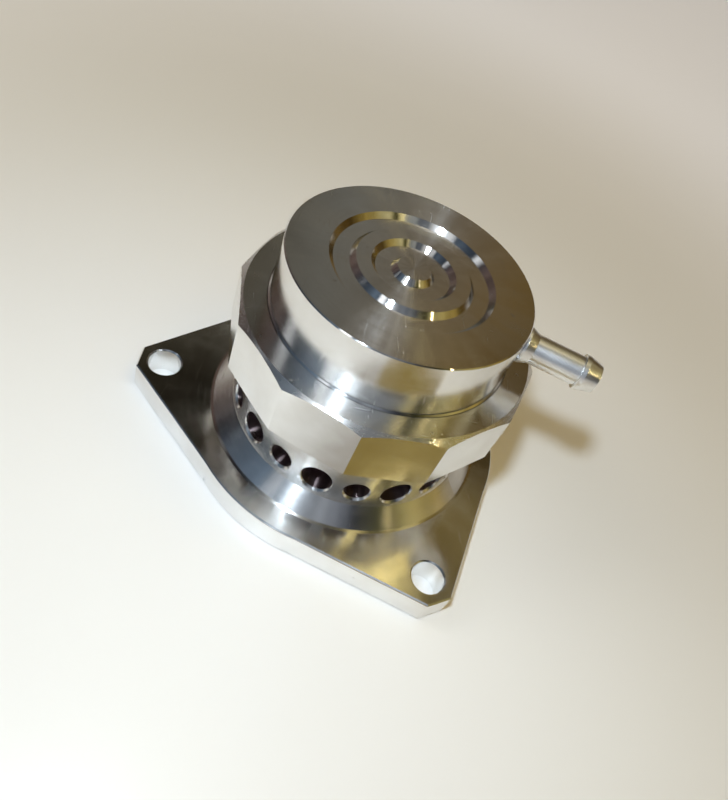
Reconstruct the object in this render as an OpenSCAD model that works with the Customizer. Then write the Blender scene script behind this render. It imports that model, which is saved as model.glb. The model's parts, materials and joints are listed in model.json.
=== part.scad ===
// Blow off valve: a spring-loaded piston valve that bolts over a turbocharger outlet
// and vents through a ring of holes. Millimetres, +Z up the valve axis, origin at the
// centre of the flange's underside. The valve is drawn closed.

/* [Flange] */
// Diameter of the flange's round middle
flange_disc_d = 67; // [62:0.5:80]
// Thickness of the flange plate
flange_t = 6; // [4:0.5:10]
// Distance from the axis to the flat end of each ear
ear_reach = 44.6; // [43:0.1:46]
// Angle between an ear's centre line and the square to its straight side
ear_side_angle = 45; // [42:0.5:48]
// How far an ear's straight side runs inside the edge of the round middle
ear_side_inset = 0.1; // [0.1:0.1:1]
// Least width of an ear's flat end
ear_end_w = 4; // [2:0.1:5]
// Number of ears, each with one bolt hole
ear_count = 3; // [2:1:4]
// Diameter of the circle through the bolt holes
bolt_pcd = 79; // [74:0.5:82]
// Diameter of a bolt hole
bolt_hole_d = 6.6; // [5:0.1:8]
// Bevel round the top of a bolt hole
hole_bevel = 0.3; // [0.1:0.05:0.6]
// Bevel along the plate's upper and lower edges
plate_bevel = 0.25; // [0.1:0.05:0.6]
// Diameter of the conical collar where it meets the plate
collar_d = 57.6; // [52:0.1:62]
// Height of the conical collar
collar_h = 3.5; // [2:0.1:6]
// Size of the narrow slope that eases the collar into the plate
collar_ease = 0.3; // [0.1:0.05:0.6]

/* [Body] */
// Outside diameter of the vent wall
body_d = 50.4; // [48:0.1:54]
// Height of the vent wall that shows between the collar and the nut
wall_h = 13.7; // [12:0.1:20]
// Diameter of the cylinder that the piston runs in
bore_d = 38; // [34:0.1:40]
// Diameter of the inlet port below the seat
port_d = 32; // [26:0.1:33]
// Height from the seat up to the lowest edge of the vents
seat_drop = 2.8; // [1.5:0.1:4]
// Number of large vents, with a small one between each pair
vent_pairs = 10; // [6:1:10]
// Diameter of a large vent
vent_large_d = 6; // [5:0.1:6.4]
// Diameter of a small vent
vent_small_d = 4.8; // [3:0.1:5.2]
// Bevel round the outside of a vent
vent_bevel = 0.4; // [0.2:0.05:0.6]
// Height of the vents' centres above the collar
vent_rise = 4.3; // [4:0.1:6]
// Turn of the first large vent from +X
vent_turn = -0.8; // [-18:0.1:18]
// Depth of the gallery that joins the vents inside the cylinder
gallery_depth = 1.5; // [1:0.1:2.5]
// Height of the gallery past the vents, above and below
gallery_margin = 0.2; // [0.1:0.1:0.5]
// Step from the vent wall in to the thread under the nut
thread_step = 0.3; // [0.1:0.1:1]
// Gap between the vent wall's shoulder and the nut
shoulder_gap = 0.2; // [0.1:0.1:0.5]

/* [Nut] */
// Distance across the nut's flats
nut_af = 56; // [54:0.1:60]
// Height of the nut
nut_h = 12.2; // [11:0.1:18]
// Number of flats
nut_flats = 12; // [6:6:12]
// Turn of the first corner from +X
nut_turn = 24.65; // [0:0.05:60]
// Step from a flat in to the rim of the end faces
nut_rim_inset = 0.4; // [0.1:0.05:1]
// Fall of the top bevel where it reaches a corner
nut_top_fall = 1.2; // [0.5:0.1:3]
// Rise of the bottom bevel where it reaches a corner
nut_low_rise = 0.3; // [0.3:0.1:2]
// Thickness of the lip that holds the cap down
lip_t = 2; // [1.5:0.1:4]
// Least wall between the nut's thread and its flats
nut_wall = 2.5; // [2:0.1:2.9]
// Thickness of the slip washer under the lip
slip_t = 0.5; // [0.3:0.1:1]

/* [Cap] */
// Diameter of the cap above the nut
cap_d = 46; // [40:0.1:47]
// Height of the cap above the nut
cap_rise = 11.9; // [9:0.1:20]
// Size of the slope round the cap where it enters the nut
cap_flare = 0.3; // [0.1:0.05:0.6]
// Thickness of the cap's foot under the lip
foot_t = 2; // [1.5:0.1:4]
// Least width of the cap's foot under the nut's lip
foot_hold = 1.2; // [1:0.1:2]
// Thickness of the cap's roof
roof_t = 3.2; // [2.5:0.1:5]
// Diameter of the spring chamber inside the cap
chamber_d = 33; // [30:0.1:35]
// Bevel on the cap's top edge
cap_bevel = 0.2; // [0.1:0.05:1]
// Diameter of the circle along the middle of the inner ring groove
groove_inner_d = 10.9; // [8:0.1:12]
// Diameter of the circle along the middle of the outer ring groove
groove_outer_d = 25.9; // [22:0.1:30]
// Width of a ring groove at the surface
groove_w = 4.8; // [2:0.1:5.5]
// Depth of a ring groove
groove_depth = 0.95; // [0.4:0.05:1.5]
// Width of each sloped side of a ring groove
groove_slope_w = 0.95; // [0.3:0.05:0.95]

/* [Hose nipple] */
// Turn of the nipple from +X
nipple_turn = 15.9; // [-180:0.1:180]
// Distance from the cap's top down to the nipple's axis
nipple_drop = 4.3; // [4:0.1:6]
// Outside diameter of the tube
tube_d = 5.6; // [4:0.1:6]
// Bore of the nipple
nipple_bore_d = 3; // [2:0.1:3.4]
// Diameter of the shoulder that seats on the cap
shoulder_d = 6.9; // [6.4:0.1:7.6]
// Thickness of the sealing washer under the shoulder
nipple_seal_t = 0.4; // [0.2:0.1:1]
// Thickness of the shoulder's straight rim
shoulder_t = 0.4; // [0.3:0.1:1.5]
// Length of the cone from the shoulder down to the tube
flare_l = 1.6; // [0.5:0.1:2.5]
// Diameter of the threaded shank in the cap's wall
shank_d = 5; // [4.2:0.1:5.4]
// Distance from the valve axis to the back of the barb
barb_reach = 34; // [28:0.1:45]
// Diameter of the barb
barb_d = 6.6; // [6:0.1:8]
// Length of the barb's straight crest
barb_crest_l = 0.8; // [0.5:0.1:2]
// Length of the taper from the crest to the tip
barb_taper_l = 2.6; // [1.5:0.1:5]
// Diameter of the tip
tip_d = 5.2; // [3.8:0.1:5.6]

/* [Piston] */
// Travel of the piston from closed to fully open
lift = 8.5; // [4:0.1:9]
// Thickness of the piston's floor
piston_floor_t = 3; // [2:0.1:5]
// Wall left inside the piston's ring grooves
piston_wall_t = 2.1; // [1.5:0.1:3]
// Radial depth of a piston ring groove
ring_groove_depth = 1.35; // [1:0.05:1.8]
// Width of a piston ring groove
ring_groove_w = 1.7; // [1.5:0.1:2]
// Land above each piston ring
ring_land = 0.6; // [0.4:0.1:1]
// Depth of the groove in the piston's nose
nose_groove_depth = 1.2; // [0.8:0.1:1.6]
// Width of the nose seal
nose_seal_w = 1.6; // [1:0.1:2]
// How far the nose seal stands out of the nose
nose_seal_proud = 0.2; // [0.1:0.05:0.4]
// Land between the nose groove and the piston's edge
nose_land = 0.5; // [0.4:0.1:1]

/* [Spring] */
// Mean diameter of the coil
coil_d = 23; // [18:0.1:24]
// Diameter of the wire
wire_d = 2.2; // [1.5:0.1:2.3]
// Number of free turns
coil_turns = 6; // [4:1:6]
// Gap between the closed turns at each end
end_gap = 0.15; // [0.1:0.05:0.5]
// Thickness of the seat washer on the piston's floor
spring_seat_t = 0.8; // [0.5:0.1:2]
// Thickness of the preload shim under the cap's roof
shim_t = 1; // [0.5:0.1:2]
// Width of the seat washer and the shim
washer_w = 3.4; // [3:0.1:4]
// Height of the spigots that centre the spring
spigot_h = 2.2; // [1.5:0.1:4]

/* [Static seals] */
// Thickness of the ring between the cap and the body
cap_seal_section = 1.6; // [1.2:0.1:2]
// Thickness of the ring in the flange's underside
flange_seal_section = 2; // [1.5:0.1:3]
// Distance from the port's edge to the flange seal's groove
flange_seal_inset = 2.5; // [2:0.1:5]
// Room on each side of a ring in its groove
seal_room = 0.15; // [0.1:0.05:0.4]

/* [Clearances] */
// Radial clearance between the piston and the cylinder
run_clear = 0.05; // [0.02:0.01:0.1]
// Clearance between a seal ring and what it seals against
seal_clear = 0.02; // [0.01:0.01:0.05]
// Radial clearance in the threads, which are drawn plain
thread_clear = 0.05; // [0.02:0.01:0.1]
// Radial clearance between the cap's foot and the nut
swivel_clear = 0.05; // [0.02:0.01:0.1]
// Gap between the cap and the nut's lip
lip_gap = 0.15; // [0.1:0.05:0.5]
// Gap left between the piston and the cap when fully open
stop_gap = 0.1; // [0.05:0.05:0.3]
// Radial clearance of the spring and its washers on the spigots
spring_clear = 0.3; // [0.1:0.05:0.5]

/* [Hidden] */
$fn = 96;
// Cutters reach this far past the faces they cut
cut = 1;

// Heights, from the flange's underside up
collar_top = flange_t + collar_h;
nut_z = collar_top + wall_h;
nut_top = nut_z + nut_h;
lip_z = nut_top - lip_t;
slip_z = lip_z - slip_t;
body_top = slip_z - foot_t;
cap_top = nut_top + cap_rise;
roof_z = cap_top - roof_t;
nipple_z = cap_top - nipple_drop;
vent_z = collar_top + vent_rise;
seat_z = vent_z - vent_large_d / 2 - seat_drop;
nose_z = seat_z + nose_seal_proud;
piston_floor_z = nose_z + piston_floor_t;
piston_top = body_top - stop_gap - lift;
spring_z0 = piston_floor_z + spring_seat_t;
spring_z1 = roof_z - shim_t;
end_pitch = wire_d + end_gap;
wire_z0 = spring_z0 + wire_d / 2;
wire_z1 = spring_z1 - wire_d / 2;
coil_pitch = (wire_z1 - wire_z0 - 2 * end_pitch) / coil_turns;
wire_turns = coil_turns + 2;
// Sides of the wire's section and steps in each turn
wire_sides = 8;
wire_steps = 20;

// Radii
flange_r = flange_disc_d / 2;
bore_r = bore_d / 2;
port_r = port_d / 2;
gallery_r = bore_r + gallery_depth;
cap_r = cap_d / 2;
cap_foot_r = cap_r + cap_flare;
lip_r = cap_foot_r + lip_gap;
// The vent wall, its thread and the nut stay outside the cap's foot
body_r = max(body_d / 2, lip_r + foot_hold + thread_step);
thread_r = body_r - thread_step;
nut_bore_r = thread_r + thread_clear;
nut_flat_r = max(nut_af / 2, nut_bore_r + nut_wall);
nut_corner_r = nut_flat_r / cos(180 / nut_flats);
nut_rim_r = nut_flat_r - nut_rim_inset;
foot_r = nut_bore_r - swivel_clear;
piston_r = bore_r - run_clear;
ring_floor_r = piston_r - ring_groove_depth;
cup_r = ring_floor_r - piston_wall_t;
ring_section = bore_r - ring_floor_r - 2 * seal_clear;
ring_mid_r = ring_floor_r + seal_clear + ring_section / 2;
nose_seal_mid_r = piston_r - nose_land - seal_room - nose_seal_w / 2;
cap_seal_mid_r = (bore_r + thread_r) / 2;
flange_seal_mid_r = port_r + flange_seal_inset + flange_seal_section / 2 + seal_room;
spigot_r = (coil_d - wire_d) / 2 - spring_clear;
washer_ri = spigot_r + spring_clear / 2;
shoulder_seat_r = shoulder_d / 2 + thread_clear;
// Flat on the cap's wall that the nipple's washer seats on
spot_face_x = sqrt(cap_r * cap_r - shoulder_seat_r * shoulder_seat_r) - thread_clear;
shoulder_x0 = spot_face_x + nipple_seal_t;
shoulder_x1 = shoulder_x0 + shoulder_t;

// Straight sides of an ear, which open out where a longer ear would end in a point
ear_side_r = flange_r - ear_side_inset;
ear_end_angle = atan2(ear_end_w / 2, ear_reach) + acos(ear_side_r / norm([ear_reach, ear_end_w / 2]));
ear_angle = max(ear_side_angle, ear_end_angle);

// Ring grooves of the piston, from the top down
ring_groove_upper_z = piston_top - ring_land - ring_groove_w;
ring_groove_lower_z = ring_groove_upper_z - ring_land - ring_groove_w;

// Flat ring of inner radius ri, outer radius ro and height h
module flat_ring(ri, ro, h) {
    rotate_extrude() translate([ri, 0]) square([ro - ri, h]);
}

// Ring of round section with its section's centre on radius mid_r, at height 0
module seal_ring(mid_r, section) {
    rotate_extrude() translate([mid_r, 0]) circle(d = section);
}

// Cutter for a seal's groove in a flat face, from z 0 up to h
module face_groove(mid_r, section, h) {
    half_w = section / 2 + seal_room;
    flat_ring(mid_r - half_w, mid_r + half_w, h);
}

// Outline of one ear along +X, from the axis to its flat end
module ear_outline() {
    foot = ear_side_r * [cos(ear_angle), sin(ear_angle)];
    end_y = (ear_side_r - ear_reach * cos(ear_angle)) / sin(ear_angle);
    polygon([[0, 0], [foot.x, -foot.y], [ear_reach, -end_y],
             [ear_reach, end_y], [foot.x, foot.y]]);
}

// Places its children once at each ear, the first one at the back
module at_ears() {
    for (i = [0:ear_count - 1]) rotate([0, 0, 90 + i * 360 / ear_count]) children();
}

// Cutter for a bevel along both edges of a straight side that runs along Y at x 0
module side_bevel() {
    run = plate_bevel + cut;
    for (place = [[flange_t, 0], [0, 1]])
        translate([0, 0, place[0]]) mirror([0, 0, place[1]]) rotate([90, 0, 0])
            linear_extrude(2 * ear_reach, center = true) polygon([[-run, cut], [cut, -run], [cut, cut]]);
}

// One ear with its three outer sides bevelled
module ear() {
    difference() {
        linear_extrude(flange_t) ear_outline();
        translate([ear_reach, 0, 0]) side_bevel();
        for (a = [-ear_angle, ear_angle]) rotate([0, 0, a]) translate([ear_side_r, 0, 0]) side_bevel();
    }
}

// Bolt hole at the origin, with its bevel
module bolt_hole() {
    translate([0, 0, -cut]) cylinder(d = bolt_hole_d, h = flange_t + 2 * cut);
    translate([0, 0, flange_t - hole_bevel])
        cylinder(d1 = bolt_hole_d, d2 = bolt_hole_d + 2 * (hole_bevel + cut), h = hole_bevel + cut);
}

// Flange plate with its bolt holes
module flange_plate() {
    difference() {
        union() {
            rotate_extrude() polygon([[0, 0], [flange_r - plate_bevel, 0], [flange_r, plate_bevel],
                [flange_r, flange_t - plate_bevel], [flange_r - plate_bevel, flange_t], [0, flange_t]]);
            at_ears() ear();
        }
        at_ears() translate([bolt_pcd / 2, 0, 0]) bolt_hole();
    }
}

// Radial drills for every second vent, starting at angle first
module vent_row(d, first) {
    for (i = [0:vent_pairs - 1])
        rotate([0, 0, first + i * 360 / vent_pairs]) translate([0, 0, vent_z]) rotate([0, 90, 0]) {
            translate([0, 0, bore_r - cut]) cylinder(d = d, h = body_r - bore_r + 2 * cut);
            translate([0, 0, body_r - vent_bevel])
                cylinder(d1 = d, d2 = d + 2 * (vent_bevel + cut), h = vent_bevel + cut);
        }
}

// Flange, collar, vent wall and cylinder, turned and milled from one billet
module valve_body() {
    gallery_h = vent_large_d + 2 * gallery_margin;
    collar_r = collar_d / 2;
    slope = [body_r - collar_r, collar_h] / norm([body_r - collar_r, collar_h]);
    wall_top = nut_z - shoulder_gap;
    color("gainsboro") difference() {
        union() {
            flange_plate();
            rotate_extrude() polygon([[0, flange_t - cut], [collar_r + collar_ease, flange_t - cut],
                [collar_r + collar_ease, flange_t], [collar_r, flange_t] + collar_ease * slope,
                [body_r, collar_top], [body_r, wall_top], [thread_r, wall_top], [thread_r, body_top],
                [0, body_top]]);
        }
        translate([0, 0, -cut]) cylinder(r = port_r, h = seat_z + 2 * cut);
        translate([0, 0, seat_z]) cylinder(r = bore_r, h = body_top - seat_z + cut);
        translate([0, 0, vent_z - gallery_h / 2])
            flat_ring(bore_r - cut, gallery_r, gallery_h);
        vent_row(vent_large_d, vent_turn);
        vent_row(vent_small_d, vent_turn + 180 / vent_pairs);
        translate([0, 0, body_top - cap_seal_section - seal_clear])
            face_groove(cap_seal_mid_r, cap_seal_section, cap_seal_section + seal_clear + cut);
        translate([0, 0, -cut])
            face_groove(flange_seal_mid_r, flange_seal_section, flange_seal_section + seal_clear + cut);
    }
}

// Seal ring between the flange and what it is bolted to, flush with the underside
module flange_seal() {
    color("dimgray") translate([0, 0, flange_seal_section / 2])
        seal_ring(flange_seal_mid_r, flange_seal_section);
}

// Nut that screws onto the body and holds the cap down by its foot
module clamp_nut() {
    // The bevels are cones that run on past the corners by this factor, so they cut each flat in an arc
    overrun = 1.5;
    out_r = nut_rim_r + overrun * (nut_corner_r - nut_rim_r);
    color("gainsboro") translate([0, 0, nut_z]) difference() {
        intersection() {
            rotate([0, 0, nut_turn]) cylinder(r = nut_corner_r, h = nut_h, $fn = nut_flats);
            rotate_extrude() polygon([[0, 0], [nut_rim_r, 0], [out_r, overrun * nut_low_rise],
                [out_r, nut_h - overrun * nut_top_fall], [nut_rim_r, nut_h], [0, nut_h]]);
        }
        translate([0, 0, -cut]) cylinder(r = nut_bore_r, h = nut_h - lip_t + cut);
        cylinder(r = lip_r, h = nut_h + cut);
    }
}

// Thin washer that lets the nut turn without dragging the cap round
module slip_washer() {
    color("silver") translate([0, 0, slip_z]) flat_ring(lip_r, foot_r, slip_t);
}

// Seal ring in the body's top face
module cap_seal() {
    color("dimgray") translate([0, 0, body_top - seal_clear - cap_seal_section / 2])
        seal_ring(cap_seal_mid_r, cap_seal_section);
}

// Cutter for one ring groove in the cap's top, with a flat floor between two slopes
module ring_groove(mid_d) {
    half_w = groove_w / 2;
    half_floor = half_w - groove_slope_w;
    translate([0, 0, cap_top]) rotate_extrude() translate([mid_d / 2, 0])
        polygon([[-half_floor, -groove_depth], [half_floor, -groove_depth], [half_w, 0], [half_w, cut],
                 [-half_w, cut], [-half_w, 0]]);
}

// Places its children along the nipple's axis, with +Z pointing out of the cap
module at_nipple() {
    rotate([0, 0, nipple_turn]) translate([0, 0, nipple_z]) rotate([0, 90, 0]) children();
}

// Cap with its foot, spring chamber, two ring grooves and the seat for the nipple
module top_cap() {
    color("gainsboro") difference() {
        rotate_extrude() polygon([[0, body_top], [foot_r, body_top], [foot_r, slip_z],
            [cap_foot_r, slip_z], [cap_foot_r, nut_top], [cap_r, nut_top + cap_flare],
            [cap_r, cap_top - cap_bevel], [cap_r - cap_bevel, cap_top], [0, cap_top]]);
        difference() {
            translate([0, 0, body_top - cut]) cylinder(d = chamber_d, h = roof_z - body_top + cut);
            translate([0, 0, roof_z - shim_t - spigot_h])
                cylinder(r = spigot_r, h = shim_t + spigot_h + cut);
        }
        ring_groove(groove_inner_d);
        ring_groove(groove_outer_d);
        at_nipple() {
            translate([0, 0, chamber_d / 2 - cut])
                cylinder(d = shank_d + 2 * thread_clear, h = cap_r - chamber_d / 2 + 2 * cut);
            translate([0, 0, spot_face_x]) cylinder(r = shoulder_seat_r, h = cap_r - spot_face_x + cut);
        }
    }
}

// Washer that seals the nipple's shoulder on the cap
module nipple_seal() {
    color("silver") at_nipple() translate([0, 0, spot_face_x])
        flat_ring(shank_d / 2 + thread_clear, shoulder_d / 2, nipple_seal_t);
}

// Barbed nipple for the vacuum hose, screwed into the cap's wall
module hose_nipple() {
    shank_x = chamber_d / 2 + cut;
    crest_x = barb_reach + barb_crest_l;
    tip_x = crest_x + barb_taper_l;
    color("gainsboro") at_nipple() rotate_extrude() polygon([
        [nipple_bore_d / 2, shank_x], [shank_d / 2, shank_x], [shank_d / 2, shoulder_x0],
        [shoulder_d / 2, shoulder_x0], [shoulder_d / 2, shoulder_x1],
        [tube_d / 2, shoulder_x1 + flare_l], [tube_d / 2, barb_reach], [barb_d / 2, barb_reach],
        [barb_d / 2, crest_x], [tip_d / 2, tip_x], [nipple_bore_d / 2, tip_x]]);
}

// Shim that sets the spring's preload
module preload_shim() {
    color("silver") translate([0, 0, spring_z1]) flat_ring(washer_ri, washer_ri + washer_w, shim_t);
}

// Height of the wire's centre after t turns, with one closed turn at each end
function wire_z(t) =
    t < 1 ? wire_z0 + t * end_pitch
    : t > wire_turns - 1 ? wire_z1 - (wire_turns - t) * end_pitch
    : wire_z0 + end_pitch + (t - 1) * coil_pitch;

// Point on the wire after t turns, at angle a round its section
function wire_point(t, a) =
    let (r = coil_d / 2 + wire_d / 2 * cos(a))
    [r * cos(360 * t), r * sin(360 * t), wire_z(t) + wire_d / 2 * sin(a)];

// Compression spring with closed ends
module spring() {
    steps = wire_turns * wire_steps;
    points = [for (i = [0:steps], k = [0:wire_sides - 1])
        wire_point(i / wire_steps, 360 * k / wire_sides)];
    walls = [for (i = [0:steps - 1], k = [0:wire_sides - 1])
        let (m = (k + 1) % wire_sides, at = i * wire_sides, next = at + wire_sides)
        [at + k, at + m, next + m, next + k]];
    start = [for (k = [wire_sides - 1:-1:0]) k];
    end = [for (k = [0:wire_sides - 1]) steps * wire_sides + k];
    color("darkgray") polyhedron(points, concat(walls, [start, end]));
}

// Washer between the spring and the piston's floor
module spring_seat() {
    color("silver") translate([0, 0, piston_floor_z])
        flat_ring(washer_ri, washer_ri + washer_w, spring_seat_t);
}

// Cup-shaped piston with two ring grooves and a groove for the nose seal
module piston() {
    spigot_top = piston_floor_z + spring_seat_t + spigot_h;
    color("lightgray") difference() {
        rotate_extrude() polygon([[0, nose_z], [piston_r, nose_z], [piston_r, piston_top],
            [cup_r, piston_top], [cup_r, piston_floor_z], [spigot_r, piston_floor_z],
            [spigot_r, spigot_top], [0, spigot_top]]);
        for (z = [ring_groove_upper_z, ring_groove_lower_z])
            translate([0, 0, z]) flat_ring(ring_floor_r, piston_r + cut, ring_groove_w);
        translate([0, 0, nose_z - cut])
            face_groove(nose_seal_mid_r, nose_seal_w, nose_groove_depth + cut);
    }
}

// One of the piston's two seal rings, in the groove at height groove_z
module piston_ring(groove_z) {
    color("dimgray") translate([0, 0, groove_z + ring_groove_w / 2])
        seal_ring(ring_mid_r, ring_section);
}

module piston_ring_upper() { piston_ring(ring_groove_upper_z); }

module piston_ring_lower() { piston_ring(ring_groove_lower_z); }

// Square-section ring that closes the piston's nose on the seat
module nose_seal() {
    h = nose_groove_depth + nose_seal_proud - 2 * seal_clear;
    color("dimgray") translate([0, 0, seat_z + seal_clear])
        flat_ring(nose_seal_mid_r - nose_seal_w / 2, nose_seal_mid_r + nose_seal_w / 2, h);
}

valve_body();
flange_seal();
clamp_nut();
slip_washer();
cap_seal();
top_cap();
nipple_seal();
hose_nipple();
preload_shim();
spring();
spring_seat();
piston();
piston_ring_upper();
piston_ring_lower();
nose_seal();
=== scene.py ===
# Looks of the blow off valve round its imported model: finishes, spring, light and camera.
# Lengths are metres in the part's own frame, +Z up the valve axis.
import json
import math

import bmesh
import bpy
from mathutils import Matrix, Vector


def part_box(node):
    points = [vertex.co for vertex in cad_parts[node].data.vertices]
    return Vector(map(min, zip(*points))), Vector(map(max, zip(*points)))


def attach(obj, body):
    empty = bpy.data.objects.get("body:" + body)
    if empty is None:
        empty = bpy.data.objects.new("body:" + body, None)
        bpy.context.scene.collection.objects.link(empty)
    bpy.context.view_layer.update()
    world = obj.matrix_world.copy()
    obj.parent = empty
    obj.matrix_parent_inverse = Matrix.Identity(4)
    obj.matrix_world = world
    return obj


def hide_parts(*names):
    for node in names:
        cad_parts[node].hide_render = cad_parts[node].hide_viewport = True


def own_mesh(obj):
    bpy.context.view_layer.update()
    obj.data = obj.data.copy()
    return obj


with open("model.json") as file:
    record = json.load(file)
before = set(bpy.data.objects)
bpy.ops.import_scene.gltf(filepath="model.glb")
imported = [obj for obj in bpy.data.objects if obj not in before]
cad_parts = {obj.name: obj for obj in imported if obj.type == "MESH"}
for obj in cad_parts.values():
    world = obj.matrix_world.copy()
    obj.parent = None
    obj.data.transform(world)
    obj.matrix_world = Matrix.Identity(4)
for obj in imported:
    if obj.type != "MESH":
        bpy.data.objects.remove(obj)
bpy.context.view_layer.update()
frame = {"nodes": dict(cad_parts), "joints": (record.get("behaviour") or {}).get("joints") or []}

MM = 0.001
nodes = frame["nodes"]
scene = bpy.context.scene
scene.view_settings.view_transform = "Standard"

# Camera, placed so that the cap's rim, the nut's corners and the bolt holes fall where the photograph has them
CAMERA_AT = Vector((30.73, -98.09, 121.44)) * MM
CAMERA_RIGHT = Vector((0.77599, 0.55656, 0.29675))
CAMERA_UP = Vector((-0.60089, 0.50934, 0.61603))
CAMERA_LENS_MM = 32.34
CAMERA_SENSOR_MM = 36.0
CAMERA_NEAREST = 1 * MM
CAMERA_FARTHEST = 100.0


def make_camera():
    data = bpy.data.cameras.new("camera")
    data.lens = CAMERA_LENS_MM
    data.sensor_width = CAMERA_SENSOR_MM
    data.clip_start = CAMERA_NEAREST
    data.clip_end = CAMERA_FARTHEST
    camera = bpy.data.objects.new("camera", data)
    turn = Matrix((CAMERA_RIGHT, CAMERA_UP, CAMERA_RIGHT.cross(CAMERA_UP))).transposed()
    camera.matrix_world = Matrix.Translation(CAMERA_AT) @ turn.to_4x4()
    scene.collection.objects.link(camera)
    scene.camera = camera


# Places of a Mix node's colour sockets, whose names it shares with its other kinds of value
MIX_COLOUR_A = 6
MIX_COLOUR_B = 7
MIX_COLOUR_OUT = 2


class Wire:
    """A socket in a node tree. Arithmetic on wires adds Math nodes to that tree."""

    def __init__(self, socket):
        self.socket = socket

    @classmethod
    def node(cls, tree, kind, settings=None, sockets=None, output=0):
        """Adds a node, sets its settings, then its sockets' values or links, and returns one output."""
        made = tree.nodes.new(kind)
        for name, value in (settings or {}).items():
            if name == "stops":
                cls.fill_ramp(made.color_ramp, value)
            else:
                setattr(made, name, value)
        cls.feed(made, sockets or {})
        return cls(made.outputs[output])

    @classmethod
    def feed(cls, node, sockets):
        """Sets a node's sockets to values, or links wires to them."""
        for key, value in sockets.items():
            if isinstance(value, cls):
                value.tree.links.new(value.socket, node.inputs[key])
            else:
                node.inputs[key].default_value = value

    @staticmethod
    def fill_ramp(ramp, stops):
        while len(ramp.elements) < len(stops):
            ramp.elements.new(1.0)
        for element, (position, colour) in zip(ramp.elements, stops):
            element.position = position
            element.color = (*colour, 1.0)

    @property
    def tree(self):
        return self.socket.id_data

    def math(self, operation, *values):
        return self.node(self.tree, "ShaderNodeMath", {"operation": operation}, dict(enumerate(values)))

    def __add__(self, other):
        return self.math("ADD", self, other)

    def __sub__(self, other):
        return self.math("SUBTRACT", self, other)

    def __rsub__(self, other):
        return self.math("SUBTRACT", other, self)

    def __mul__(self, other):
        return self.math("MULTIPLY", self, other)

    def __truediv__(self, other):
        return self.math("DIVIDE", self, other)

    def __rtruediv__(self, other):
        return self.math("DIVIDE", other, self)

    __radd__ = __add__
    __rmul__ = __mul__

    def size(self):
        return self.math("ABSOLUTE", self)

    def root(self):
        return self.math("POWER", self, 0.5)

    def ramp(self, low, high):
        """0 below low, 1 above high, and smooth between them."""
        return self.node(self.tree, "ShaderNodeMapRange", {"interpolation_type": "SMOOTHSTEP"},
                         {"Value": self, "From Min": low, "From Max": high})

    def parts(self):
        """The three components of a vector."""
        split = self.node(self.tree, "ShaderNodeSeparateXYZ", None, {"Vector": self})
        return [Wire(socket) for socket in split.socket.node.outputs]

    def blend(self, colour_a, colour_b):
        """Colour a where this wire is 0, b where it is 1."""
        return self.node(self.tree, "ShaderNodeMix", {"data_type": "RGBA"},
                         {"Factor": self, MIX_COLOUR_A: colour_a, MIX_COLOUR_B: colour_b}, MIX_COLOUR_OUT)


def rgb(red, green, blue):
    return (red, green, blue, 1.0)


BLACK = rgb(0.0, 0.0, 0.0)


def join(x, y, z):
    """A vector from three wires or numbers, at least one of them a wire."""
    tree = next(part.tree for part in (x, y, z) if isinstance(part, Wire))
    return Wire.node(tree, "ShaderNodeCombineXYZ", None, {"X": x, "Y": y, "Z": z})


def noise(place, scale, detail=2.0, roughness=0.5):
    """Cloudy values round 0.5, with scale features to the unit of place."""
    return Wire.node(place.tree, "ShaderNodeTexNoise", None,
                     {"Vector": place, "Scale": scale, "Detail": detail, "Roughness": roughness})


def clouds(place, width, detail=2.0, roughness=0.5):
    """Cloudy values round 0.5, with features of about that width."""
    return noise(place, 1 / width, detail, roughness)


def new_finish(name):
    """A new material, its node tree and its surface shader."""
    material = bpy.data.materials.new(name)
    material.use_nodes = True
    return material, material.node_tree, material.node_tree.nodes["Principled BSDF"]


def bump(height, depth):
    """A normal from a height of 0 to 1 over that depth in metres."""
    return Wire.node(height.tree, "ShaderNodeBump", None,
                     {"Strength": 1.0, "Distance": depth, "Height": height})


def object_place(tree):
    return Wire.node(tree, "ShaderNodeTexCoord", output="Object")


def object_normal(tree):
    return Wire.node(tree, "ShaderNodeTexCoord", output="Normal")


def axis_distance(place):
    """Distance from the valve axis."""
    x, y, z = place.parts()
    return (x * x + y * y).root()


# Marks that the tools and the handling leave on the metal, and radial fans of light on turned faces
MARK_PITCH = 0.35 * MM
MARK_CHANGE_ROUND = 1.5
FAN_CHANGE_ROUND = 3.0
FAN_LENGTH = 60 * MM
HAIR_EDGE = (0.68, 0.76)
HAIR_PATCH_EDGE = (0.5, 0.62)
HAIR_PATCHES = 1.5


def lathe_marks(place):
    """Rings round the valve axis, with no seam where the angle starts again."""
    x, y, z = place.parts()
    radius = axis_distance(place)
    change = MARK_CHANGE_ROUND
    return Wire.node(place.tree, "ShaderNodeTexNoise", {"noise_dimensions": "4D"}, {
        "Vector": join(x / radius * change, y / radius * change, radius / MARK_PITCH), "W": z / MARK_PITCH,
        "Scale": 1.0, "Detail": 3.0, "Roughness": 0.65})


def radial_fans(place):
    """Soft rays out from the valve axis, as light makes on a turned face."""
    x, y, z = place.parts()
    radius = axis_distance(place)
    change = FAN_CHANGE_ROUND
    return noise(join(x / radius * change, y / radius * change, radius / FAN_LENGTH), 1.0, 3.0, 0.6)


def scratches(place, turn, length, width):
    """Hairlines in one direction across the valve axis: 1 on a line, 0 between lines."""
    x, y, z = place.parts()
    along = x * math.cos(turn) + y * math.sin(turn)
    across = y * math.cos(turn) - x * math.sin(turn)
    lines = noise(join(along / length, across / width, z / width), 1.0, 1.0)
    patches = noise(join(along / length, across / length, z / length), HAIR_PATCHES, 1.0)
    return lines.ramp(*HAIR_EDGE) * patches.ramp(*HAIR_PATCH_EDGE)
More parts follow.
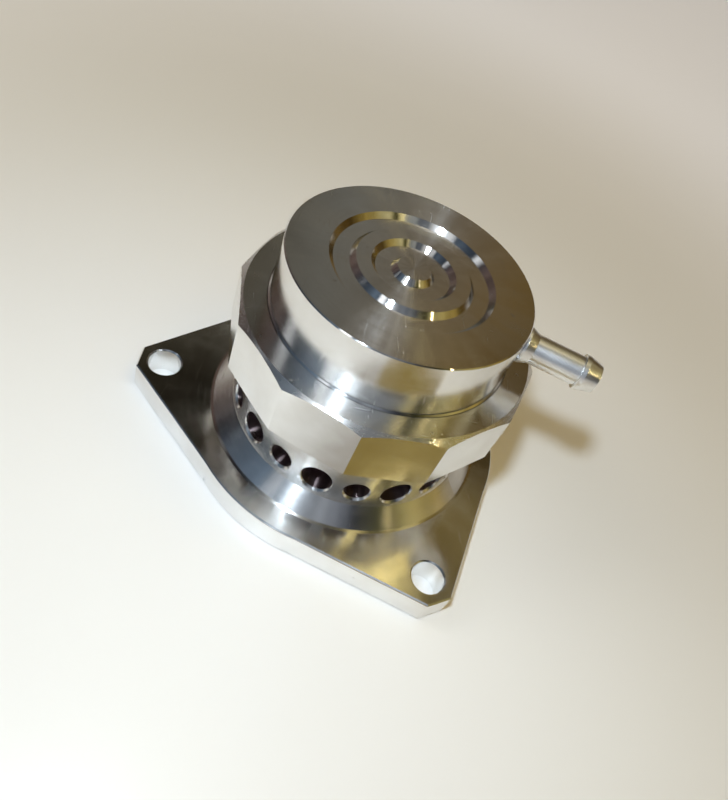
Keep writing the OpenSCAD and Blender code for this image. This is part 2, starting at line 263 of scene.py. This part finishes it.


# Turned and polished aluminium
# Clean metal with the painted sheen of the radial fans, then smeared metal with their painted shade
CLEAN_AND_FAN_SHEEN = rgb(0.91, 0.91, 0.9)
SMEARED_AND_FAN_SHADE = rgb(0.74, 0.72, 0.69)
GRAINED = rgb(0.78, 0.77, 0.75)
# Painted shade for the vents and bores, tinted reddish as a painted reflection of the piston
BORE_PAINTED_SHADE = rgb(0.3, 0.23, 0.23)
MARK_DEPTH = 0.004 * MM
SCRATCH_DEPTH = 0.0012 * MM
DENT_DEPTH = 0.006 * MM
DENT_WIDTH = 1.2 * MM
DENT_EDGE = (0.85, 0.9)
SMEAR_WIDTH = 9 * MM
GRAIN_WIDTH = 0.25 * MM
DRILL_EDGE = 0.3 * MM
ACROSS_MARKS = 0.25

# Sizes of the normal's upward part at which a slope starts and a flat face starts
SLOPE_FROM = (0.2, 0.4)
FACE_FROM = (0.9, 0.99)

# Sets of hairlines: direction in radians, length and width
HAIR_SETS = ((0.6, 8 * MM, 0.2 * MM), (-0.9, 5 * MM, 0.18 * MM), (2.0, 10 * MM, 0.2 * MM))

# Share of each kind of mark in the roughness
FAN_ROUGHENS = 0.24
SMEAR_ROUGHENS = 0.14
MARK_ROUGHENS = 0.08
HAIR_ROUGHENS = 0.1
DENT_ROUGHENS = 0.1
DRILL_ROUGHENS = 0.14


def turned_aluminium(name, face_roughness, slope_roughness, wall_roughness, stretch, face_marks, wall_marks,
                     drilled_r=0.0):
    """Bare aluminium with lathe marks round the axis, hairline scratches, small dents and faint smears, and
    radial fans of painted sheen and shade in its colour.

    Nearer the axis than drilled_r its surfaces are rougher, as a drill leaves them, and darker and reddish
    with painted shade and a painted reflection of the piston.
    """
    material, tree, shader = new_finish(name)
    place = object_place(tree)
    drilled_and_shaded = 1 - axis_distance(place).ramp(drilled_r - DRILL_EDGE, drilled_r)
    rise = object_normal(tree).parts()[2].size()
    facing_up = rise.ramp(*FACE_FROM)
    sloping = rise.ramp(*SLOPE_FROM) * (1 - facing_up)
    marks = lathe_marks(place)
    fans = (radial_fans(place) - 0.5) * facing_up
    hairs = sum(scratches(place, *hair_set) for hair_set in HAIR_SETS)
    dents = clouds(place, DENT_WIDTH, 0.0).ramp(*DENT_EDGE)
    smears = clouds(place, SMEAR_WIDTH, 3.0)
    grain = clouds(place, GRAIN_WIDTH)
    plain_roughness = (wall_roughness + facing_up * (face_roughness - wall_roughness)
                       + sloping * (slope_roughness - wall_roughness))
    roughness = (plain_roughness + fans * FAN_ROUGHENS + (smears - 0.5) * SMEAR_ROUGHENS
                 + (marks - 0.5) * MARK_ROUGHENS + hairs * HAIR_ROUGHENS + dents * DENT_ROUGHENS
                 + drilled_and_shaded * DRILL_ROUGHENS)
    # The colour holds real smears, and radial fans of painted sheen and shade that stand in for light on the
    # faces
    smears_and_fan_sheen = (smears + fans).ramp(0.2, 0.8).blend(SMEARED_AND_FAN_SHADE, CLEAN_AND_FAN_SHEEN)
    polished = (grain * 0.5 + marks * 0.5).ramp(0.2, 0.5).blend(GRAINED, smears_and_fan_sheen)
    mark_share = wall_marks + facing_up * (face_marks - wall_marks)
    height = marks * mark_share - hairs * (SCRATCH_DEPTH / MARK_DEPTH) - dents * (DENT_DEPTH / MARK_DEPTH)
    Wire.feed(shader, {
        # Inside the bores the colour is painted shade and a painted reflection of the piston
        "Base Color": drilled_and_shaded.blend(polished, BORE_PAINTED_SHADE),
        "Metallic": 1.0,
        "Roughness": roughness,
        "Anisotropic": stretch,
        "Anisotropic Rotation": ACROSS_MARKS,
        "Normal": bump(height, MARK_DEPTH),
    })
    return material


# Anodised piston
PISTON_DARK = rgb(0.16, 0.045, 0.05)
PISTON_LIGHT = rgb(0.24, 0.08, 0.08)
PISTON_PATCH_WIDTH = 5 * MM
PISTON_MARK_DEPTH = 0.002 * MM


def anodised_piston():
    """Dark red-brown anodised aluminium with faint marks round the axis."""
    material, tree, shader = new_finish("anodised_piston")
    place = object_place(tree)
    marks = lathe_marks(place)
    patches = clouds(place, PISTON_PATCH_WIDTH, 3.0)
    Wire.feed(shader, {
        "Base Color": patches.blend(PISTON_DARK, PISTON_LIGHT),
        "Metallic": 0.85,
        "Roughness": 0.3 + (marks - 0.5) * 0.2,
        "Normal": bump(marks, PISTON_MARK_DEPTH),
    })
    return material


# Washers and spring, each from a darker to a lighter steel
WASHER_STEEL = (rgb(0.42, 0.42, 0.43), rgb(0.56, 0.56, 0.57))
SPRING_STEEL = (rgb(0.3, 0.3, 0.31), rgb(0.46, 0.46, 0.47))
STEEL_PATCH_WIDTH = 6 * MM
STEEL_GRAIN_WIDTH = 0.4 * MM
STEEL_GRAIN_DEPTH = 0.004 * MM


def satin_steel(name, dark, light):
    """Drawn or stamped steel with a fine satin grain."""
    material, tree, shader = new_finish(name)
    place = object_place(tree)
    grain = clouds(place, STEEL_GRAIN_WIDTH, 4.0, 0.6)
    patches = clouds(place, STEEL_PATCH_WIDTH)
    Wire.feed(shader, {
        "Base Color": patches.blend(dark, light),
        "Metallic": 1.0,
        "Roughness": 0.28 + (grain - 0.5) * 0.25,
        "Normal": bump(grain, STEEL_GRAIN_DEPTH),
    })
    return material


# Seal rings
RUBBER_BLACK = rgb(0.012, 0.012, 0.013)
RUBBER_BLOOM = rgb(0.05, 0.05, 0.048)
BLOOM_WIDTH = 3 * MM
SKIN_WIDTH = 0.2 * MM
SKIN_DEPTH = 0.01 * MM


def seal_rubber():
    """Matt black rubber with a moulded bloom."""
    material, tree, shader = new_finish("seal_rubber_finish")
    place = object_place(tree)
    bloom = clouds(place, BLOOM_WIDTH, 4.0, 0.6)
    skin = clouds(place, SKIN_WIDTH, 3.0)
    Wire.feed(shader, {
        "Base Color": bloom.blend(RUBBER_BLACK, RUBBER_BLOOM),
        "Roughness": 0.55 + (bloom - 0.5) * 0.3,
        "Normal": bump(skin, SKIN_DEPTH),
    })
    return material


def dress(material, *names):
    """Gives CAD nodes a finish."""
    for name in names:
        mesh = nodes[name].data
        mesh.materials.clear()
        mesh.materials.append(material)
        for face in mesh.polygons:
            face.material_index = 0


def centre_marks(name):
    """Centres a node's own texture space on the valve axis, so that its grain runs round that axis."""
    mesh = nodes[name].data
    mesh.use_auto_texspace = False
    mesh.texspace_location = (0.0, 0.0, 0.0)
    mesh.texspace_size = (50 * MM, 50 * MM, 50 * MM)


# Inside this radius the body is vents, gallery and cylinder, rougher and with painted shade in its colour
BODY_DRILLED_R = 24.9 * MM


def dress_nodes():
    dress(turned_aluminium("body_aluminium", face_roughness=0.135, slope_roughness=0.165, wall_roughness=0.165,
                           stretch=0.95, face_marks=0.4, wall_marks=0.3, drilled_r=BODY_DRILLED_R),
          "valve_body")
    dress(turned_aluminium("nut_aluminium", face_roughness=0.2, slope_roughness=0.27, wall_roughness=0.12,
                           stretch=0.92, face_marks=0.4, wall_marks=0.1), "clamp_nut")
    dress(turned_aluminium("cap_aluminium", face_roughness=0.15, slope_roughness=0.13, wall_roughness=0.13,
                           stretch=0.95, face_marks=0.3, wall_marks=0.12), "top_cap")
    dress(turned_aluminium("nipple_aluminium", face_roughness=0.3, slope_roughness=0.3, wall_roughness=0.3,
                           stretch=0.0, face_marks=0.3, wall_marks=0.3), "hose_nipple")
    dress(anodised_piston(), "piston")
    washer_steel = satin_steel("washer_steel", *WASHER_STEEL)
    dress(washer_steel, "slip_washer", "nipple_seal", "preload_shim", "spring_seat")
    dress(seal_rubber(), "flange_seal", "cap_seal", "piston_ring_upper", "piston_ring_lower", "nose_seal")
    for name in ("valve_body", "clamp_nut", "top_cap"):
        centre_marks(name)


def piece_from(mesh, name, material):
    """Puts a finished bmesh into the scene as an object with one material."""
    data = bpy.data.meshes.new(name)
    mesh.to_mesh(data)
    mesh.free()
    data.materials.append(material)
    piece = bpy.data.objects.new(name, data)
    scene.collection.objects.link(piece)
    return piece


# Spring, as a smooth round wire in the space of its CAD node
WIRE_D = 2.2 * MM
WIRE_R = WIRE_D / 2
END_GAP = 0.15 * MM
COIL_TURNS = 6
CLOSED_TURNS = 2
STEPS_PER_TURN = 64
WIRE_SIDES = 20


def wire_height(turns, low, high):
    """Height of the wire's centre after some turns, with one closed turn at each end."""
    end_pitch = WIRE_D + END_GAP
    total = COIL_TURNS + CLOSED_TURNS
    pitch = (high - low - 2 * end_pitch) / COIL_TURNS
    if turns < 1:
        return low + turns * end_pitch
    if turns > total - 1:
        return high - (total - turns) * end_pitch
    return low + end_pitch + (turns - 1) * pitch


def make_spring():
    """Sweeps the wire's round section along the coil and closes both of the wire's ends."""
    lowest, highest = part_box("spring")
    coil_r = highest.x - WIRE_R
    low = lowest.z + WIRE_R
    high = highest.z - WIRE_R
    steps = (COIL_TURNS + CLOSED_TURNS) * STEPS_PER_TURN
    mesh = bmesh.new()
    rings = []
    for step in range(steps + 1):
        turns = step / STEPS_PER_TURN
        angle = 2 * math.pi * turns
        centre_z = wire_height(turns, low, high)
        ring = []
        for side in range(WIRE_SIDES):
            side_angle = 2 * math.pi * side / WIRE_SIDES
            r = coil_r + WIRE_R * math.cos(side_angle)
            z = centre_z + WIRE_R * math.sin(side_angle)
            ring.append(mesh.verts.new((r * math.cos(angle), r * math.sin(angle), z)))
        rings.append(ring)
    for ring, after in zip(rings, rings[1:]):
        for side in range(WIRE_SIDES):
            beside = (side + 1) % WIRE_SIDES
            mesh.faces.new((ring[side], after[side], after[beside], ring[beside])).smooth = True
    mesh.faces.new(rings[0])
    mesh.faces.new(reversed(rings[-1]))
    bmesh.ops.recalc_face_normals(mesh, faces=mesh.faces)
    piece = piece_from(mesh, "coil_spring", satin_steel("spring_steel", *SPRING_STEEL))
    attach(piece, "housing")
    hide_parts("spring")
    slide = next(joint for joint in frame["joints"] if joint["name"] == "piston_slide")
    length = highest.z - lowest.z
    keep = (length - slide["range_m"][1]) / length
    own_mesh(piece)


# White table, a hair below the flange so that their faces do not share a plane
FLOOR_SIZE = 12.0
FLOOR_DROP = 0.02 * MM
FLOOR_WHITE = rgb(0.86, 0.855, 0.84)
NEAR_FLOOR = 0.1
FAR_FLOOR = 0.3
FAR_GLOW = rgb(0.26, 0.27, 0.3)


def seen_rays(tree):
    """1 for rays that a viewer sees, straight or in a mirror, and 0 for rays that carry light."""
    rays = tree.nodes.new("ShaderNodeLightPath").outputs
    total = sum(Wire(rays[name]) for name in ("Is Camera Ray", "Is Glossy Ray", "Is Transmission Ray"))
    return total.math("MINIMUM", total, 1.0)


def make_floor():
    """White table, lifted to an even pale tone far from the valve, where the flash no longer reaches."""
    material, tree, shader = new_finish("white_table")
    far = axis_distance(object_place(tree)).ramp(NEAR_FLOOR, FAR_FLOOR)
    Wire.feed(shader, {
        "Base Color": FLOOR_WHITE,
        "Roughness": 0.35,
        "Emission Color": (far * seen_rays(tree)).blend(BLACK, FAR_GLOW),
        "Emission Strength": 1.0,
    })
    material.cycles.emission_sampling = "NONE"
    mesh = bmesh.new()
    bmesh.ops.create_grid(mesh, x_segments=1, y_segments=1, size=FLOOR_SIZE / 2)
    floor = piece_from(mesh, "floor", material)
    floor.location.z = -FLOOR_DROP


# Card in front of the valve, a painted shadow on the table that shows only in the metal: its corners and
# height in millimetres, and the ranges over which it fades
CARD_CORNERS = ((-2, -66), (64, -66), (64, -17), (-22, -17))
CARD_Z = 5.5
CARD_SLANT = 0.4
CARD_SLANT_Y = -31 * MM
CARD_FADES_IN_X = (-16 * MM, 8 * MM)
CARD_FADES_OUT_X = (58 * MM, 64 * MM)
CARD_FADES_IN_Y = (-65 * MM, -56 * MM)
CARD_FADES_OUT_Y = (-20.5 * MM, -17.5 * MM)
PAINTED_SHADOW_CORE_FROM_X = (14 * MM, 22 * MM)
# Painted shadow colours: grey penumbra round an olive core
PAINTED_PENUMBRA_GREY = rgb(0.42, 0.4, 0.36)
PAINTED_SHADOW_OLIVE = rgb(0.27, 0.2, 0.06)


def make_shadow_card():
    """Glowing olive card, a painted shadow on the table with a grey penumbra, that fades to nothing and shows
    only in the metal as a painted reflection.

    It lies just under the flange's top face, so that the flange's edge, below it, reflects the bare table.
    """
    material, tree, shader = new_finish("painted_shadow_card")
    x, y, z = object_place(tree).parts()
    slanted = x + (y - CARD_SLANT_Y) * CARD_SLANT
    across = slanted.ramp(*CARD_FADES_IN_X) * (1 - x.ramp(*CARD_FADES_OUT_X))
    along = y.ramp(*CARD_FADES_IN_Y) * (1 - y.ramp(*CARD_FADES_OUT_Y))
    Wire.feed(shader, {
        "Base Color": BLACK,
        "Specular IOR Level": 0.0,
        # The card glows with the painted shadow's colour, olive at its core and grey at its penumbra
        "Emission Color": slanted.ramp(*PAINTED_SHADOW_CORE_FROM_X).blend(PAINTED_PENUMBRA_GREY, PAINTED_SHADOW_OLIVE),
        "Emission Strength": 1.0,
        "Alpha": across * along,
    })
    material.cycles.emission_sampling = "NONE"
    mesh = bmesh.new()
    mesh.faces.new([mesh.verts.new(Vector((x, y, CARD_Z)) * MM) for x, y in CARD_CORNERS])
    shadow_card = piece_from(mesh, "shadow_card", material)
    shadow_card.visible_camera = shadow_card.visible_diffuse = shadow_card.visible_transmission = shadow_card.visible_shadow = False


def heading(turn, rise):
    """Unit vector at that turn from +X and that rise above the floor, in degrees."""
    turn, rise = math.radians(turn), math.radians(rise)
    return Vector((math.cos(turn) * math.cos(rise), math.sin(turn) * math.cos(rise), math.sin(rise)))


# Lamps, all aimed at one point: name, place, diameter, power, colour and the kind of surface that misses it
AIM = Vector((0.0, 0.0, 20.0)) * MM
LAMPS = (
    ("flash", Vector((4.8, -95.6, 172.0)) * MM, 16 * MM, 0.265, (0.76, 0.88, 1.0), None),
    ("warm_bulb", AIM + heading(-5, 40) * 0.6, 10 * MM, 0.09, (1.0, 0.8, 0.38), "visible_diffuse"),
    ("soft_key", AIM + heading(-152, 38) * 0.6, 0.3, 0.65, (1.0, 0.96, 0.86), "visible_glossy"),
    ("warm_fill", AIM + heading(20, 75) * 1.2, 0.8, 2.4, (1.0, 0.62, 0.1), "visible_glossy"))


def make_lamps():
    for name, at, diameter, power, colour, hidden_from in LAMPS:
        data = bpy.data.lights.new(name, "AREA")
        data.shape = "DISK"
        data.size = diameter
        data.energy = power
        data.color = colour
        lamp = bpy.data.objects.new(name, data)
        turn = (AIM - at).to_track_quat("-Z", "Y")
        lamp.matrix_world = Matrix.Translation(at) @ turn.to_matrix().to_4x4()
        if hidden_from:
            setattr(lamp, hidden_from, False)
        scene.collection.objects.link(lamp)


# Colours of the room's walls by turn from +X in degrees
ROOM_WALLS = (
    (-180, (0.12, 0.085, 0.075)), (-155, (0.035, 0.04, 0.05)), (-113, (0.16, 0.22, 0.3)),
    (-85, (0.13, 0.16, 0.2)), (-62, (0.4, 0.44, 0.5)), (-47, (0.2, 0.22, 0.26)),
    (-35, (0.035, 0.04, 0.055)), (-17, (0.05, 0.05, 0.025)), (8, (0.42, 0.34, 0.12)),
    (30, (0.34, 0.24, 0.06)), (48, (0.08, 0.045, 0.01)), (70, (0.11, 0.065, 0.015)),
    (90, (0.06, 0.04, 0.015)), (97, (0.15, 0.095, 0.03)), (108, (0.14, 0.12, 0.09)),
    (116, (0.19, 0.19, 0.17)), (123, (0.07, 0.06, 0.04)), (140, (0.04, 0.035, 0.02)),
    (155, (0.12, 0.085, 0.07)), (180, (0.12, 0.085, 0.075)))

# Light areas on the walls: turn and half of the width in degrees, lowest and highest sine of the rise, colour
ROOM_LIGHTS = (
    (-160, 7, 0.66, 0.76, (1.2, 1.25, 1.3)), (-104, 6, 0.66, 0.76, (2.2, 2.3, 2.4)),
    (-90, 22, 0.83, 0.92, (1.0, 0.99, 0.95)), (-30, 14, 0.79, 0.87, (0.4, 0.41, 0.38)),
    (-14, 5, 0.81, 0.92, (2.8, 2.3, 0.95)), (10, 14, 0.68, 0.8, (0.45, 0.4, 0.2)),
    (45, 7, 0.81, 0.92, (2.5, 2.05, 0.85)), (62, 7, 0.66, 0.78, (0.9, 0.84, 0.55)),
    (86, 13, 0.74, 0.82, (0.16, 0.115, 0.04)), (92, 3, 0.83, 0.92, (2.5, 2.05, 0.85)),
    (108, 6, 0.77, 0.93, (0.6, 0.58, 0.55)))
LIGHT_INNER_EDGE = 0.6
LIGHT_OUTER_EDGE = 1.4
LIGHT_SOFT_RISE = 0.03

# Shading of the walls, by the sine of the rise, and the ceiling light, by the cosine from its middle
WALL_PATCHES = 4.0
WALL_SHADE_LEAST = 0.5
WALL_SHADE_SPAN = 0.65
WALL_DARKENS = 0.65
WALL_DARK_FROM = (0.7, 0.78)
HORIZON = rgb(0.7, 0.68, 0.62)
HORIZON_TOP = 0.07
CEILING_LIGHT_WAY = heading(107, 82)
CEILING_LIGHT_EDGE = (0.955, 0.985)
CEILING_LIGHT = rgb(0.95, 0.85, 0.6)


def make_room():
    """Dim walls that darken upwards, with lit areas on them, and a warm white ceiling light past overhead."""
    world = bpy.data.worlds.new("room")
    scene.world = world
    world.use_nodes = True
    tree = world.node_tree
    way = Wire.node(tree, "ShaderNodeTexCoord", output="Generated")
    x, y, z = way.parts()
    turn = y.math("ARCTAN2", y, x) * (180 / math.pi)
    stops = [(angle / 360 + 0.5, colour) for angle, colour in ROOM_WALLS]
    walls = Wire.node(tree, "ShaderNodeValToRGB", {"stops": stops}, {"Fac": turn / 360 + 0.5})
    shade = WALL_SHADE_LEAST + WALL_SHADE_SPAN * noise(way, WALL_PATCHES, 3.0).ramp(0.3, 0.7)
    dark_above = z.ramp(*WALL_DARK_FROM) * WALL_DARKENS
    walls = (shade * (1 - dark_above)).blend(BLACK, walls)
    sky = z.ramp(0.0, HORIZON_TOP).blend(HORIZON, walls)
    for middle, half, lowest, highest, colour in ROOM_LIGHTS:
        across = 1 - (turn - middle).size().ramp(half * LIGHT_INNER_EDGE, half * LIGHT_OUTER_EDGE)
        above = z.ramp(lowest - LIGHT_SOFT_RISE, lowest + LIGHT_SOFT_RISE)
        below = 1 - z.ramp(highest - LIGHT_SOFT_RISE, highest + LIGHT_SOFT_RISE)
        sky = (across * above * below).blend(sky, rgb(*colour))
    light = CEILING_LIGHT_WAY
    overhead = (x * light.x + y * light.y + z * light.z).ramp(*CEILING_LIGHT_EDGE)
    Wire.feed(tree.nodes["Background"], {"Color": overhead.blend(sky, CEILING_LIGHT)})


make_camera()
dress_nodes()
make_spring()
make_floor()
make_lamps()
make_shadow_card()
make_room()
